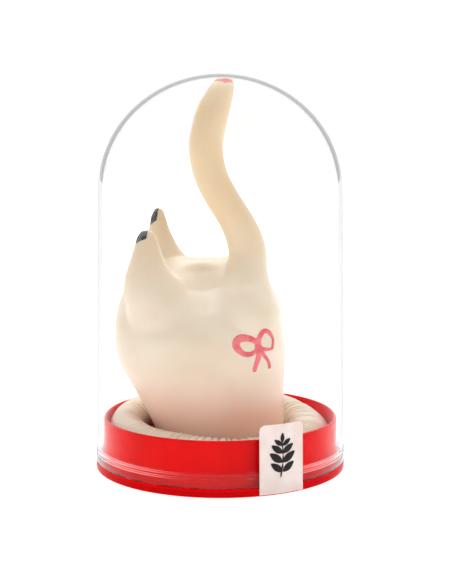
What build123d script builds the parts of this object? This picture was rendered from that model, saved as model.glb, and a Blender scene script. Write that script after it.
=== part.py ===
"""Mouse figure of dip-moulded latex under a clear display dome on a red base.

Millimetres, +Z up. The origin is the centre of the underside of the base. The mouse's head is
towards -X and its tail stands up on the +X side.
"""

from build123d import *
import math
import os

os.makedirs("parts", exist_ok=True)

# ---------------------------------------------------------------- driving dimensions
flange_radius = 30.0
flange_height = 1.8
ring_radius = 28.1  # outside of the upstanding ring that guides the dome
ring_wall = 0.8
ring_top = 12.4
floor_thickness = 1.0
foot_radius = 27.0  # inside of the annulus the base stands on
boss_radius = 14.2
boss_top = 20.0
boss_wall = 1.0
boss_rounding = 1.5
edge_rounding = 0.25

dome_bottom_radius = 29.85
dome_shoulder_radius = 29.0
dome_shoulder = 66.0
dome_top = 93.5
dome_skirt_wall = 1.35
dome_side_wall = 1.05
dome_crown_wall = 0.8
band_height = 1.7  # thick band round the mouth of the dome
band_depth = 0.13
rib_heights = (4.1, 4.8)
rib_size = 0.25
rib_depth = 0.05

skin = 1.0  # wall of the moulded latex
boss_fit = 0.2  # clearance between the boss and the inside of the figure
neck_radius = boss_radius + boss_fit + skin
lip_width = 3.4  # the skin turned outwards on the floor
lip_thickness = 0.8
coat = 0.15  # thickness of a painted layer
root_gap = 0.3

# Level ellipses up the body: height, centre x, half width along x, half width along y.
body_stations = (
    (flange_height, 0.0, neck_radius, neck_radius),
    (10.0, -0.3, 15.9, 15.6),
    (19.0, -2.7, 18.2, 16.9),
    (26.0, -4.4, 20.1, 17.9),
    (33.0, -5.1, 20.2, 18.1),
    (39.0, -5.5, 19.0, 17.2),
    (44.0, -5.7, 17.0, 15.2),
    (47.0, -5.4, 14.0, 12.2),
    (48.7, -5.0, 10.0, 8.6),
    (49.4, -4.6, 5.5, 4.6),
)
# Level ellipses up each ear: height, centre x, centre y, half width x, half width y.
near_ear_stations = (
    (38.0, -14.6, -7.2, 7.8, 6.6),
    (43.5, -16.2, -7.8, 6.7, 5.6),
    (47.0, -16.7, -8.1, 5.5, 4.6),
    (50.0, -17.0, -8.2, 4.3, 3.7),
    (53.5, -17.1, -8.3, 2.8, 2.5),
    (56.0, -16.9, -8.3, 1.6, 1.5),
    (57.3, -16.8, -8.3, 0.8, 0.7),
)
far_ear_stations = (
    (38.0, -11.6, 6.6, 8.6, 7.4),
    (44.0, -12.9, 7.4, 7.6, 6.4),
    (49.7, -13.9, 8.0, 5.4, 4.4),
    (53.2, -14.6, 8.2, 3.7, 3.2),
    (57.0, -15.0, 8.3, 2.3, 2.1),
    (59.8, -14.9, 8.3, 1.4, 1.3),
    (61.1, -14.8, 8.3, 0.8, 0.7),
)
# Level ellipses up the tail: height, centre x, half width along x, half width along y.
tail_stations = (
    (41.0, 6.3, 5.1, 5.0),
    (47.0, 6.4, 4.8, 4.7),
    (52.0, 6.4, 4.6, 4.5),
    (57.0, 4.9, 4.6, 4.2),
    (62.0, 2.0, 4.7, 4.1),
    (66.5, -0.7, 4.5, 4.1),
    (71.0, -2.6, 4.2, 4.1),
    (76.5, -3.4, 4.1, 4.1),
    (82.0, -2.5, 4.1, 4.0),
    (86.5, -1.2, 3.9, 3.8),
    (89.0, -0.2, 3.3, 3.3),
    (91.0, 0.5, 2.5, 2.5),
    (92.0, 0.8, 1.4, 1.4),
)
tail_pivot = (6.0, 0.0, 38.0)
tail_root_radius = 13.2  # spherical lap between the stump on the body and the tail
tip_paint_bottom = 91.0

collar_inner_radius = 16.7
collar_outer_radius = 26.6
collar_half_height = 4.3
collar_middle = 8.9
collar_tilt = 4.5
collar_high_side = 130.0  # direction of the highest point, degrees from +X

label_middle = -62.6  # direction of the label's middle, degrees from +X
label_half_angle = 10.8
label_bottom = 0.3
label_top = 16.0
label_bottom_radius = 30.1
label_top_radius = 29.82
label_thickness = 0.15
label_corner = 1.3
ink = 0.06

face_turn = 171.0  # direction the face looks, degrees from +X
eye_spread = 15.0
eye_height = 43.6
nose_height = 38.0
face_dot_size = 2.2

# Painted bow, as (x, z) places on the side that faces -Y.
bow_loops = (  # centre, outside half sizes, stroke width
    ((5.9, 31.5), (2.9, 2.4), 1.2),
    ((10.4, 32.4), (2.2, 2.7), 0.8),
)
bow_knot_and_legs = (
    (8.6, 31.6), (7.9, 28.6), (7.4, 25.4), (8.5, 25.2), (9.0, 28.2), (9.3, 30.0),
    (10.1, 28.2), (10.7, 25.1), (11.8, 25.2), (11.3, 28.6), (9.8, 31.6),
)
bow_plane_offset = 8.0  # from the middle plane; the body's own side lies further out
bow_depth = 16.0
ear_patches = (  # piece, centre of the sphere that marks the painted patch, its radius
    ("near_ear_paint", (-20.3, -8.6, 56.8), 3.7),
    ("far_ear_paint", (-18.2, 8.0, 60.6), 3.9),
)
face_plane_offset = 8.0
face_depth = 16.0

# Sprig printed on the label.
stem_bottom = 4.0
stem_top = 12.2
stem_width = 0.5
leaf_length = 1.55
leaf_width = 0.55
leaf_heights = (6.2, 8.6, 11.0)
leaf_spread = 1.35  # from the stem to a leaf's middle
leaf_rise = 0.6
leaf_angle = 38.0
tip_leaf_rise = 0.9
label_plane_offset = 20.0  # inside the label; the print and paper lie further out
label_depth = 15.0


# ---------------------------------------------------------------- helpers
def stack(stations, grow=0.0, lower=0.0):
    """Solid lofted through level ellipses, each widened by grow and let down by lower."""
    with BuildPart() as shape:
        for height, x, y, half_x, half_y in stations:
            with BuildSketch(Plane.XY.offset(height - lower)):
                with Locations((x, y)):
                    Ellipse(half_x + grow, half_y + grow)
        loft()
    return shape.part


def on_axis(stations):
    """Stations with a centre y of zero put in."""
    return [(height, x, 0.0, half_x, half_y) for height, x, half_x, half_y in stations]


def inner(stations):
    """The stations wide enough to have a hollow inside the skin."""
    return [station for station in stations if station[4] > skin + 0.5]


def turned(points):
    """Solid of revolution about Z of a closed outline of (radius, height) points."""
    with BuildPart() as shape:
        with BuildSketch(Plane.XZ):
            with BuildLine():
                Polyline(*points, close=True)
            make_face()
        revolve(axis=Axis.Z)
    return shape.part


def figure_shape(grow=0.0):
    """Body with both ears, as one closed solid."""
    body = stack(on_axis(body_stations), grow)
    near_ear = stack(near_ear_stations, grow)
    far_ear = stack(far_ear_stations, grow)
    return body + near_ear + far_ear


def finish(part, name):
    """Names a part and writes its STEP file."""
    part.label = name
    export_step(part, f"parts/{name}.step")


# ---------------------------------------------------------------- base
ring_inside = ring_radius - ring_wall
floor_bottom = flange_height - floor_thickness

with BuildPart() as base:
    with BuildSketch(Plane.XZ):
        with BuildLine():
            Polyline(
                (foot_radius, 0),
                (flange_radius, 0),
                (flange_radius, flange_height),
                (ring_radius, flange_height),
                (ring_radius, ring_top),
                (ring_inside, ring_top),
                (ring_inside, flange_height),
                (boss_radius, flange_height),
                (boss_radius, boss_top - boss_rounding),
            )
            CenterArc((boss_radius - boss_rounding, boss_top - boss_rounding), boss_rounding, 0, 90)
            Polyline(
                (boss_radius - boss_rounding, boss_top),
                (0, boss_top),
                (0, boss_top - boss_wall),
                (boss_radius - boss_wall, boss_top - boss_wall),
                (boss_radius - boss_wall, floor_bottom),
                (foot_radius, floor_bottom),
                (foot_radius, 0),
            )
        make_face()
    revolve(axis=Axis.Z)
    flange_edges = base.edges().filter_by(GeomType.CIRCLE).sort_by(SortBy.RADIUS)[-2:]
    fillet(flange_edges, edge_rounding)
finish(base.part, "base")


# ---------------------------------------------------------------- clear dome
def dome_radius(height):
    """Outside radius of the tapered wall at a height below the shoulder."""
    share = (height - flange_height) / (dome_shoulder - flange_height)
    return dome_bottom_radius + share * (dome_shoulder_radius - dome_bottom_radius)


def crown_curve(radius, top):
    """Points of a quarter ellipse from the shoulder to the top."""
    angles = [math.radians(degrees) for degrees in (0, 30, 60, 90)]
    rise = top - dome_shoulder
    return [(radius * math.cos(a), dome_shoulder + rise * math.sin(a)) for a in angles]


skirt_inside = dome_bottom_radius - dome_skirt_wall
shoulder_inside = dome_shoulder_radius - dome_side_wall
crown_inside = dome_top - dome_crown_wall
band_top = flange_height + band_height

skirt_outline = [
    (skirt_inside, flange_height),
    (dome_radius(flange_height) + band_depth, flange_height),
    (dome_radius(band_top) + band_depth, band_top),
    (dome_radius(band_top), band_top),
]
for rib_height in rib_heights:
    for height, depth in (
        (rib_height - rib_size / 2, 0),
        (rib_height - rib_size / 2, rib_depth),
        (rib_height + rib_size / 2, rib_depth),
        (rib_height + rib_size / 2, 0),
    ):
        skirt_outline.append((dome_radius(height) + depth, height))
skirt_outline.append((dome_shoulder_radius, dome_shoulder))

with BuildPart() as dome:
    with BuildSketch(Plane.XZ):
        with BuildLine():
            Polyline(*skirt_outline)
            Spline(*crown_curve(dome_shoulder_radius, dome_top), tangents=((0, 1), (-1, 0)))
            Line((0, dome_top), (0, crown_inside))
            Spline(*crown_curve(shoulder_inside, crown_inside), tangents=((0, 1), (-1, 0)))
            Line((shoulder_inside, dome_shoulder), (skirt_inside, flange_height))
        make_face()
    revolve(axis=Axis.Z)
finish(dome.part, "dome")


# ---------------------------------------------------------------- mouse figure
with BuildPart() as tail_solid:
    add(stack(on_axis(tail_stations)))
with BuildPart() as tail_hollow:
    add(stack(inner(on_axis(tail_stations)), -skin, skin))
with BuildPart() as root_ball:
    with Locations(tail_pivot):
        Sphere(tail_root_radius)
with BuildPart() as root_clearance:
    with Locations(tail_pivot):
        Sphere(tail_root_radius + root_gap)
with BuildPart() as root_inside:
    with Locations(tail_pivot):
        Sphere(tail_root_radius - skin)

with BuildPart() as tail:
    add(tail_solid.part)
    add(tail_hollow.part, mode=Mode.SUBTRACT)
    add(root_clearance.part, mode=Mode.SUBTRACT)
finish(tail.part, "figure_tail")

with BuildPart() as stump_solid:
    add(tail_solid.part)
    add(root_ball.part, mode=Mode.INTERSECT)
with BuildPart() as stump_hollow:
    add(tail_hollow.part)
    add(root_inside.part, mode=Mode.INTERSECT)

closed_figure = figure_shape()
with BuildPart() as figure_body:
    add(closed_figure)
    add(stump_solid.part)
    with BuildSketch(Plane.XY.offset(flange_height)):
        Circle(neck_radius + lip_width)
    extrude(amount=lip_thickness)
    add(stack(inner(on_axis(body_stations)), -skin, skin), mode=Mode.SUBTRACT)
    add(stack(inner(near_ear_stations), -skin, skin), mode=Mode.SUBTRACT)
    add(stack(inner(far_ear_stations), -skin, skin), mode=Mode.SUBTRACT)
    add(stump_hollow.part, mode=Mode.SUBTRACT)
    with BuildSketch(Plane.XY):
        Circle(neck_radius - skin)
    extrude(amount=boss_top - boss_rounding, mode=Mode.SUBTRACT)
finish(figure_body.part, "figure_body")

tilt = math.radians(collar_tilt)
high_side = math.radians(collar_high_side)
level_out = Vector(math.cos(high_side), math.sin(high_side), 0)
collar_axis = Vector(0, 0, 1) * math.cos(tilt) - level_out * math.sin(tilt)
collar_out = level_out * math.cos(tilt) + Vector(0, 0, 1) * math.sin(tilt)
collar_centre = Vector(0, 0, collar_middle)
collar_section = Plane(origin=collar_centre, x_dir=collar_out, z_dir=collar_out.cross(collar_axis))
with BuildPart() as collar:
    with BuildSketch(collar_section):
        with Locations(((collar_inner_radius + collar_outer_radius) / 2, 0)):
            Ellipse((collar_outer_radius - collar_inner_radius) / 2, collar_half_height)
    revolve(axis=Axis(collar_centre, collar_axis))
finish(collar.part, "rolled_collar")


# ---------------------------------------------------------------- painted layers
coated_figure = figure_shape(coat)

with BuildPart() as bow:
    with BuildSketch(Plane.XZ.offset(bow_plane_offset)):
        for centre, (half_x, half_z), stroke in bow_loops:
            with Locations(centre):
                Ellipse(half_x, half_z)
                Ellipse(half_x - stroke, half_z - stroke, mode=Mode.SUBTRACT)
        with BuildLine():
            Polyline(*bow_knot_and_legs, close=True)
        make_face()
    extrude(amount=bow_depth)
    add(coated_figure, mode=Mode.INTERSECT)
    add(closed_figure, mode=Mode.SUBTRACT)
finish(bow.part, "painted_bow")

for ear_name, patch_centre, patch_reach in ear_patches:
    with BuildPart() as patch:
        with Locations(patch_centre):
            Sphere(patch_reach)
        add(coated_figure, mode=Mode.INTERSECT)
        add(closed_figure, mode=Mode.SUBTRACT)
    finish(patch.part, ear_name)

face_centre = Vector(body_stations[5][1], 0, 0)
for dot_name, direction, height in (
    ("near_eye_paint", face_turn + eye_spread, eye_height),
    ("far_eye_paint", face_turn - eye_spread, eye_height),
    ("nose_paint", face_turn, nose_height),
):
    dot_plane = Plane(
        origin=face_centre + Vector(0, 0, height),
        x_dir=(-math.sin(math.radians(direction)), math.cos(math.radians(direction)), 0),
        z_dir=(math.cos(math.radians(direction)), math.sin(math.radians(direction)), 0),
    )
    with BuildPart() as dot:
        with BuildSketch(dot_plane.offset(face_plane_offset)):
            Circle(face_dot_size / 2)
        extrude(amount=face_depth)
        add(coated_figure, mode=Mode.INTERSECT)
        add(closed_figure, mode=Mode.SUBTRACT)
    finish(dot.part, dot_name)

with BuildPart() as tip_paint:
    add(stack(on_axis(tail_stations), coat, -coat))
    split(bisect_by=Plane.XY.offset(tip_paint_bottom), keep=Keep.TOP)
    add(tail_solid.part, mode=Mode.SUBTRACT)
finish(tip_paint.part, "tail_tip_paint")


# ---------------------------------------------------------------- seal label
def label_shell(inside, outside):
    """Thin cone standing round the dome's mouth, between two distances off the label's inside."""
    return turned(
        (
            (label_bottom_radius + inside, label_bottom),
            (label_bottom_radius + outside, label_bottom),
            (label_top_radius + outside, label_top),
            (label_top_radius + inside, label_top),
        )
    )


label_plane = Plane(
    origin=(0, 0, 0),
    x_dir=(-math.sin(math.radians(label_middle)), math.cos(math.radians(label_middle)), 0),
    z_dir=(math.cos(math.radians(label_middle)), math.sin(math.radians(label_middle)), 0),
)
label_half_width = label_bottom_radius * math.sin(math.radians(label_half_angle))
label_height = label_top - label_bottom
label_centre = (label_top + label_bottom) / 2
paper = label_shell(0, label_thickness)
print_layer = label_shell(label_thickness, label_thickness + ink)

with BuildPart() as label:
    with BuildSketch(label_plane.offset(label_plane_offset)) as label_outline:
        with Locations((0, label_centre)):
            Rectangle(2 * label_half_width, label_height)
        fillet(label_outline.vertices().group_by(Axis.Y)[-1], label_corner)
    extrude(amount=label_depth)
    add(paper, mode=Mode.INTERSECT)
finish(label.part, "seal_label")

with BuildPart() as motif:
    with BuildSketch(label_plane.offset(label_plane_offset)):
        with Locations((0, (stem_bottom + stem_top) / 2)):
            Rectangle(stem_width, stem_top - stem_bottom)
        with Locations((0, stem_top + tip_leaf_rise)):
            Ellipse(leaf_width, leaf_length)
        for leaf_height in leaf_heights:
            for side in (-1, 1):
                leaf_middle = (side * leaf_spread, leaf_height + leaf_rise, 0)
                with Locations(Location(leaf_middle, (0, 0, side * leaf_angle))):
                    Ellipse(leaf_length, leaf_width)
    extrude(amount=label_depth)
    add(print_layer, mode=Mode.INTERSECT)
finish(motif.part, "seal_motif")
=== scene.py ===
# %% [markdown]
# # A latex mouse under a display dome
#
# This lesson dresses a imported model: a dip-moulded latex mouse with a tall tail, standing on a red base
# under a clear dome that a paper seal holds shut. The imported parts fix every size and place. What is made
# here is what an eye looks for: one seamless skin, a wrinkled roll of latex, real glass-clear walls, brushed
# paint and a printed label.
#
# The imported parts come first, because every new piece takes its place from them.

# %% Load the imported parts
import math

import bmesh
import bpy
from mathutils import Matrix, Vector, noise
from mathutils.bvhtree import BVHTree


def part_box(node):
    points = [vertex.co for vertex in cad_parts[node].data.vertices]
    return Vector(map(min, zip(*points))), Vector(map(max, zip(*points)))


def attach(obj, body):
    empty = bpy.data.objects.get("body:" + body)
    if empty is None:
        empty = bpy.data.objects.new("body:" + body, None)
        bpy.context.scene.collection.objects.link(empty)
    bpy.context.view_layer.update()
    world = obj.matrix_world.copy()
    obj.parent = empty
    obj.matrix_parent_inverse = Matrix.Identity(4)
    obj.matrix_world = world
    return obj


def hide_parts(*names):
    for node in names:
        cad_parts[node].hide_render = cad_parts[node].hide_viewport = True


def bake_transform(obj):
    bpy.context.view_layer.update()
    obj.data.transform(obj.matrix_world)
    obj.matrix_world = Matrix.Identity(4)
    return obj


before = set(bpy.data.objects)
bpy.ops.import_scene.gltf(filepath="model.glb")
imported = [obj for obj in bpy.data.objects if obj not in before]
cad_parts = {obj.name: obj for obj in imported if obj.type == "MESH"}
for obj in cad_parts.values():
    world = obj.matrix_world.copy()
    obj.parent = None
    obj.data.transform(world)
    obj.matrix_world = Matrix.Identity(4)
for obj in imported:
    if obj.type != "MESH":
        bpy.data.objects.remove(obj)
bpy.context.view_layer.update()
print("nodes:", sorted(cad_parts))

# %% [markdown]
# ## Units and the sizes taken from the parts
#
# Blender works in metres, and this object is nine centimetres tall, so outlines are written in millimetres
# and scaled once, by MM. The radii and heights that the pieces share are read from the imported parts' boxes,
# so nothing here can drift away from them.

# %% Sizes shared by the pieces
MM = 0.001
MERGE_DISTANCE = 1e-7
base_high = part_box("base")[1]
dome_low, dome_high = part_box("dome")
label_low, label_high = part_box("seal_label")
tail_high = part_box("figure_tail")[1]

flange_radius = base_high.x / MM
flange_top = dome_low.z / MM
boss_top = base_high.z / MM
dome_top = dome_high.z / MM
tail_top = tail_high.z / MM
print("flange radius", round(flange_radius, 2), "dome top", round(dome_top, 2), "tail top", round(tail_top, 2))

# %% [markdown]
# ## Camera, floor and light
#
# The object is looked at from a little above the height of its crown, with a long lens, as in a catalogue
# picture. The floor is a pale disc that runs out of view and glows a little, so it stays white under the
# object. The light is a surround that brightens towards the back, with a patch of glow above and two soft lamps
# at the sides. Clear plastic shows by its edges, so the surround is dimmer for rays that a dome's wall has
# turned back, and the lamps are hidden from every ray that would mirror them.

# %% Camera
CAMERA_DISTANCE = 0.300
CAMERA_HEIGHT = 0.08154
CAMERA_PITCH = math.radians(7.525)
FOCAL_LENGTH = 77.87
SENSOR_WIDTH = 36.0
CAMERA_SHIFT = 0.00997

camera_data = bpy.data.cameras.new("camera")
camera_data.lens = FOCAL_LENGTH
camera_data.sensor_width = SENSOR_WIDTH
camera_data.shift_x = CAMERA_SHIFT
camera_data.clip_start = 0.01
camera_data.clip_end = 20.0
camera = bpy.data.objects.new("camera", camera_data)
camera.location = (0.0, -CAMERA_DISTANCE, CAMERA_HEIGHT)
camera.rotation_euler = (math.pi / 2 - CAMERA_PITCH, 0.0, 0.0)
bpy.context.scene.collection.objects.link(camera)
bpy.context.scene.camera = camera
print("camera at", tuple(camera.location))


# %% Colour helper
def colour(red, green, blue):
    """A colour given as it looks on a screen, 0 to 255, as the linear values that shaders use."""
    shares = [channel / 255 for channel in (red, green, blue)]
    linear = [s / 12.92 if s <= 0.04045 else ((s + 0.055) / 1.055) ** 2.4 for s in shares]
    return (*linear, 1.0)


# %% Node helpers
def wire(tree, source, target):
    """Joins an output socket to an input socket."""
    tree.links.new(source, target)


def new_group(name, inputs, outputs):
    """An empty shader group with named sockets, given as (name, socket type, default)."""
    group = bpy.data.node_groups.new(name, "ShaderNodeTree")
    for socket_name, kind, default in inputs:
        socket = group.interface.new_socket(socket_name, in_out="INPUT", socket_type=kind)
        socket.default_value = default
    for socket_name, kind in outputs:
        group.interface.new_socket(socket_name, in_out="OUTPUT", socket_type=kind)
    return group, group.nodes.new("NodeGroupInput"), group.nodes.new("NodeGroupOutput")


def noise_node(tree, place, scale, detail=3.0, roughness=0.5):
    """A noise texture read at the given place."""
    node = tree.nodes.new("ShaderNodeTexNoise")
    node.inputs["Scale"].default_value = scale
    node.inputs["Detail"].default_value = detail
    node.inputs["Roughness"].default_value = roughness
    wire(tree, place, node.inputs["Vector"])
    return node


def ramp_between(tree, value, low, high, at_low=0.0, at_high=1.0):
    """A value spread so that low gives at_low and high gives at_high, eased at both ends."""
    node = tree.nodes.new("ShaderNodeMapRange")
    node.interpolation_type = "SMOOTHSTEP"
    node.inputs["From Min"].default_value = low
    node.inputs["From Max"].default_value = high
    node.inputs["To Min"].default_value = at_low
    node.inputs["To Max"].default_value = at_high
    wire(tree, value, node.inputs["Value"])
    return node.outputs["Result"]


def straight_between(tree, share, at_none, at_full):
    """A share from 0 to 1 turned evenly into a value between two others."""
    node = tree.nodes.new("ShaderNodeMapRange")
    node.inputs["To Min"].default_value = at_none
    node.inputs["To Max"].default_value = at_full
    wire(tree, share, node.inputs["Value"])
    return node.outputs["Result"]


def within(tree, value, middle, half):
    """1 where a value lies within half of the middle, and 0 elsewhere."""
    node = tree.nodes.new("ShaderNodeMath")
    node.operation = "COMPARE"
    wire(tree, value, node.inputs[0])
    node.inputs[1].default_value = middle
    node.inputs[2].default_value = half
    return node.outputs[0]


def coordinates(tree, output):
    """A texture coordinate, and the node that splits it into X, Y and Z."""
    place = tree.nodes.new("ShaderNodeTexCoord").outputs[output]
    split = tree.nodes.new("ShaderNodeSeparateXYZ")
    wire(tree, place, split.inputs[0])
    return place, split.outputs


def colour_mix(tree, share, first, second):
    """A mix of two colours, each a socket or a colour; share is a socket or a number."""
    node = tree.nodes.new("ShaderNodeMix")
    node.data_type = "RGBA"
    for value, socket in ((share, node.inputs[0]), (first, node.inputs[6]), (second, node.inputs[7])):
        if isinstance(value, bpy.types.NodeSocket):
            wire(tree, value, socket)
        else:
            socket.default_value = value
    return node.outputs[2]


def value_math(tree, operation, first, second):
    """One step of arithmetic on sockets or numbers."""
    node = tree.nodes.new("ShaderNodeMath")
    node.operation = operation
    for value, socket in ((first, node.inputs[0]), (second, node.inputs[1])):
        if isinstance(value, bpy.types.NodeSocket):
            wire(tree, value, socket)
        else:
            socket.default_value = value
    return node.outputs[0]


# %% Floor
def new_object(name, mesh):
    """Links a mesh into the scene as an object that sits at the origin."""
    made = bpy.data.objects.new(name, mesh)
    bpy.context.scene.collection.objects.link(made)
    return made


FLOOR_RADIUS = 6.0
FLOOR_PALE = (0.92, 0.92, 0.92, 1.0)
FLOOR_GLOW = 0.56
floor_mesh = bpy.data.meshes.new("floor")
sheet = bmesh.new()
bmesh.ops.create_circle(sheet, cap_ends=True, radius=FLOOR_RADIUS, segments=96)
sheet.to_mesh(floor_mesh)
sheet.free()
floor = new_object("floor", floor_mesh)

floor_paint = bpy.data.materials.new("floor_paint")
floor_paint.use_nodes = True
floor_shader = floor_paint.node_tree.nodes["Principled BSDF"]
floor_shader.inputs["Base Color"].default_value = FLOOR_PALE
floor_shader.inputs["Roughness"].default_value = 0.8
floor_shader.inputs["Specular IOR Level"].default_value = 0.1
floor_shader.inputs["Emission Color"].default_value = (1.0, 1.0, 1.0, 1.0)
floor_shader.inputs["Emission Strength"].default_value = FLOOR_GLOW
floor_mesh.materials.append(floor_paint)
floor.visible_glossy = False

# %% Surround
FRONT_LIGHT, BACK_LIGHT = 0.40, 1.03
GLOW_FROM = (0.0, 0.5, 0.866)
GLOW_LIGHT = 2.8
TURNED_BACK = (2.0, 1.2)
TURNED_BACK_LIGHT = 0.42

world = bpy.data.worlds.new("studio")
world.use_nodes = True
sky = world.node_tree
background = sky.nodes["Background"]
direction, axes = coordinates(sky, "Generated")
fade = ramp_between(sky, axes["Y"], -0.25, 0.80, FRONT_LIGHT, BACK_LIGHT)
towards_glow = sky.nodes.new("ShaderNodeVectorMath")
towards_glow.operation = "DOT_PRODUCT"
towards_glow.inputs[1].default_value = GLOW_FROM
wire(sky, direction, towards_glow.inputs[0])
glow_patch = ramp_between(sky, towards_glow.outputs["Value"], 0.86, 0.98, 0.0, GLOW_LIGHT)
wire(sky, value_math(sky, "ADD", fade, glow_patch), background.inputs["Color"])
depth = sky.nodes.new("ShaderNodeLightPath").outputs["Transmission Depth"]
turned_back = within(sky, depth, *TURNED_BACK)
wire(sky, straight_between(sky, turned_back, 1.0, TURNED_BACK_LIGHT), background.inputs["Strength"])
bpy.context.scene.world = world
bpy.context.scene.view_settings.view_transform = "Standard"


# %% Lamps
LAMP_SIZE = 0.4
LAMP_TARGET = Vector((0.0, 0.0, 0.045))


def soft_lamp(name, place, watts):
    """A square soft lamp that faces the object and shows in no mirrored or passing ray."""
    lamp_data = bpy.data.lights.new(name, "AREA")
    lamp_data.shape = "SQUARE"
    lamp_data.size = LAMP_SIZE
    lamp_data.energy = watts
    lamp = bpy.data.objects.new(name, lamp_data)
    lamp.location = place
    lamp.rotation_euler = (LAMP_TARGET - Vector(place)).to_track_quat("-Z", "Y").to_euler()
    lamp.visible_camera = False
    lamp.visible_glossy = False
    lamp.visible_transmission = False
    bpy.context.scene.collection.objects.link(lamp)


soft_lamp("left_lamp", (-0.55, -0.35, 0.35), 1.25)
soft_lamp("right_lamp", (0.60, -0.30, 0.25), 1.1)

# %% [markdown]
# ## Patterns that several finishes share
#
# Real surfaces are never one even colour. Three patterns are used again and again here, so each is a node
# group, built once: a soft mottle that leans a colour towards a second one, fine handling scratches that
# open up the gloss, and a gentle unevenness for the normals of moulded pieces.


# %% The mottle, scratches and unevenness groups
def build_mottle():
    group, given, out = new_group(
        "soft_mottle",
        (
            ("Colour", "NodeSocketColor", (0.8, 0.8, 0.8, 1.0)),
            ("Tint", "NodeSocketColor", (0.6, 0.6, 0.6, 1.0)),
            ("Scale", "NodeSocketFloat", 60.0),
            ("Low", "NodeSocketFloat", 0.35),
            ("High", "NodeSocketFloat", 0.7),
        ),
        (("Colour", "NodeSocketColor"), ("Mask", "NodeSocketFloat")),
    )
    place, _ = coordinates(group, "Object")
    cloud = noise_node(group, place, 60.0, 4.0, 0.55)
    wire(group, given.outputs["Scale"], cloud.inputs["Scale"])
    spread = group.nodes.new("ShaderNodeMapRange")
    spread.interpolation_type = "SMOOTHSTEP"
    wire(group, cloud.outputs["Fac"], spread.inputs["Value"])
    wire(group, given.outputs["Low"], spread.inputs["From Min"])
    wire(group, given.outputs["High"], spread.inputs["From Max"])
    mask = spread.outputs["Result"]
    wire(group, colour_mix(group, mask, given.outputs["Colour"], given.outputs["Tint"]), out.inputs["Colour"])
    wire(group, mask, out.inputs["Mask"])
    return group


def build_scratches():
    group, given, out = new_group(
        "handling_scratches",
        (
            ("Scale", "NodeSocketFloat", 120.0),
            ("Stretch", "NodeSocketVector", (1.0, 1.0, 12.0)),
        ),
        (("Mask", "NodeSocketFloat"),),
    )
    place, _ = coordinates(group, "Object")
    mapping = group.nodes.new("ShaderNodeMapping")
    mapping.inputs["Rotation"].default_value = (0.4, 0.7, 0.2)
    wire(group, place, mapping.inputs["Vector"])
    wire(group, given.outputs["Stretch"], mapping.inputs["Scale"])
    lines = noise_node(group, mapping.outputs["Vector"], 120.0, 2.0, 0.6)
    wire(group, given.outputs["Scale"], lines.inputs["Scale"])
    wire(group, ramp_between(group, lines.outputs["Fac"], 0.62, 0.74), out.inputs["Mask"])
    return group


def build_unevenness():
    group, given, out = new_group(
        "moulded_unevenness",
        (
            ("Broad", "NodeSocketFloat", 80.0),
            ("Fine", "NodeSocketFloat", 900.0),
            ("Fine Share", "NodeSocketFloat", 0.2),
        ),
        (("Height", "NodeSocketFloat"),),
    )
    place, _ = coordinates(group, "Object")
    broad = noise_node(group, place, 80.0, 2.0, 0.5)
    fine = noise_node(group, place, 900.0, 2.0, 0.5)
    wire(group, given.outputs["Broad"], broad.inputs["Scale"])
    wire(group, given.outputs["Fine"], fine.inputs["Scale"])
    fine_part = value_math(group, "MULTIPLY", fine.outputs["Fac"], given.outputs["Fine Share"])
    wire(group, value_math(group, "ADD", broad.outputs["Fac"], fine_part), out.inputs["Height"])
    return group


mottle = build_mottle()
scratches = build_scratches()
unevenness = build_unevenness()
print("node groups:", [g.name for g in bpy.data.node_groups])


# %% Placing a group in a material
def use_group(tree, group, **values):
    """A group node with its inputs set; an underscore in a name stands for a space."""
    node = tree.nodes.new("ShaderNodeGroup")
    node.node_tree = group
    for key, value in values.items():
        node.inputs[key.replace("_", " ")].default_value = value
    return node


def new_material(name, roughness):
    """A material with its Principled shader ready to be wired."""
    material = bpy.data.materials.new(name)
    material.use_nodes = True
    shader = material.node_tree.nodes["Principled BSDF"]
    shader.inputs["Roughness"].default_value = roughness
    return material, material.node_tree, shader


def bump(tree, shader, height, strength, distance):
    """Feeds a height through a Bump node to the shader's normal."""
    node = tree.nodes.new("ShaderNodeBump")
    node.inputs["Strength"].default_value = strength
    node.inputs["Distance"].default_value = distance
    wire(tree, height, node.inputs["Height"])
    wire(tree, node.outputs["Normal"], shader.inputs["Normal"])


def vary_roughness(tree, shader, mask, smooth, rough):
    """Lets a mask move the roughness between two values."""
    wire(tree, straight_between(tree, mask, smooth, rough), shader.inputs["Roughness"])
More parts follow.
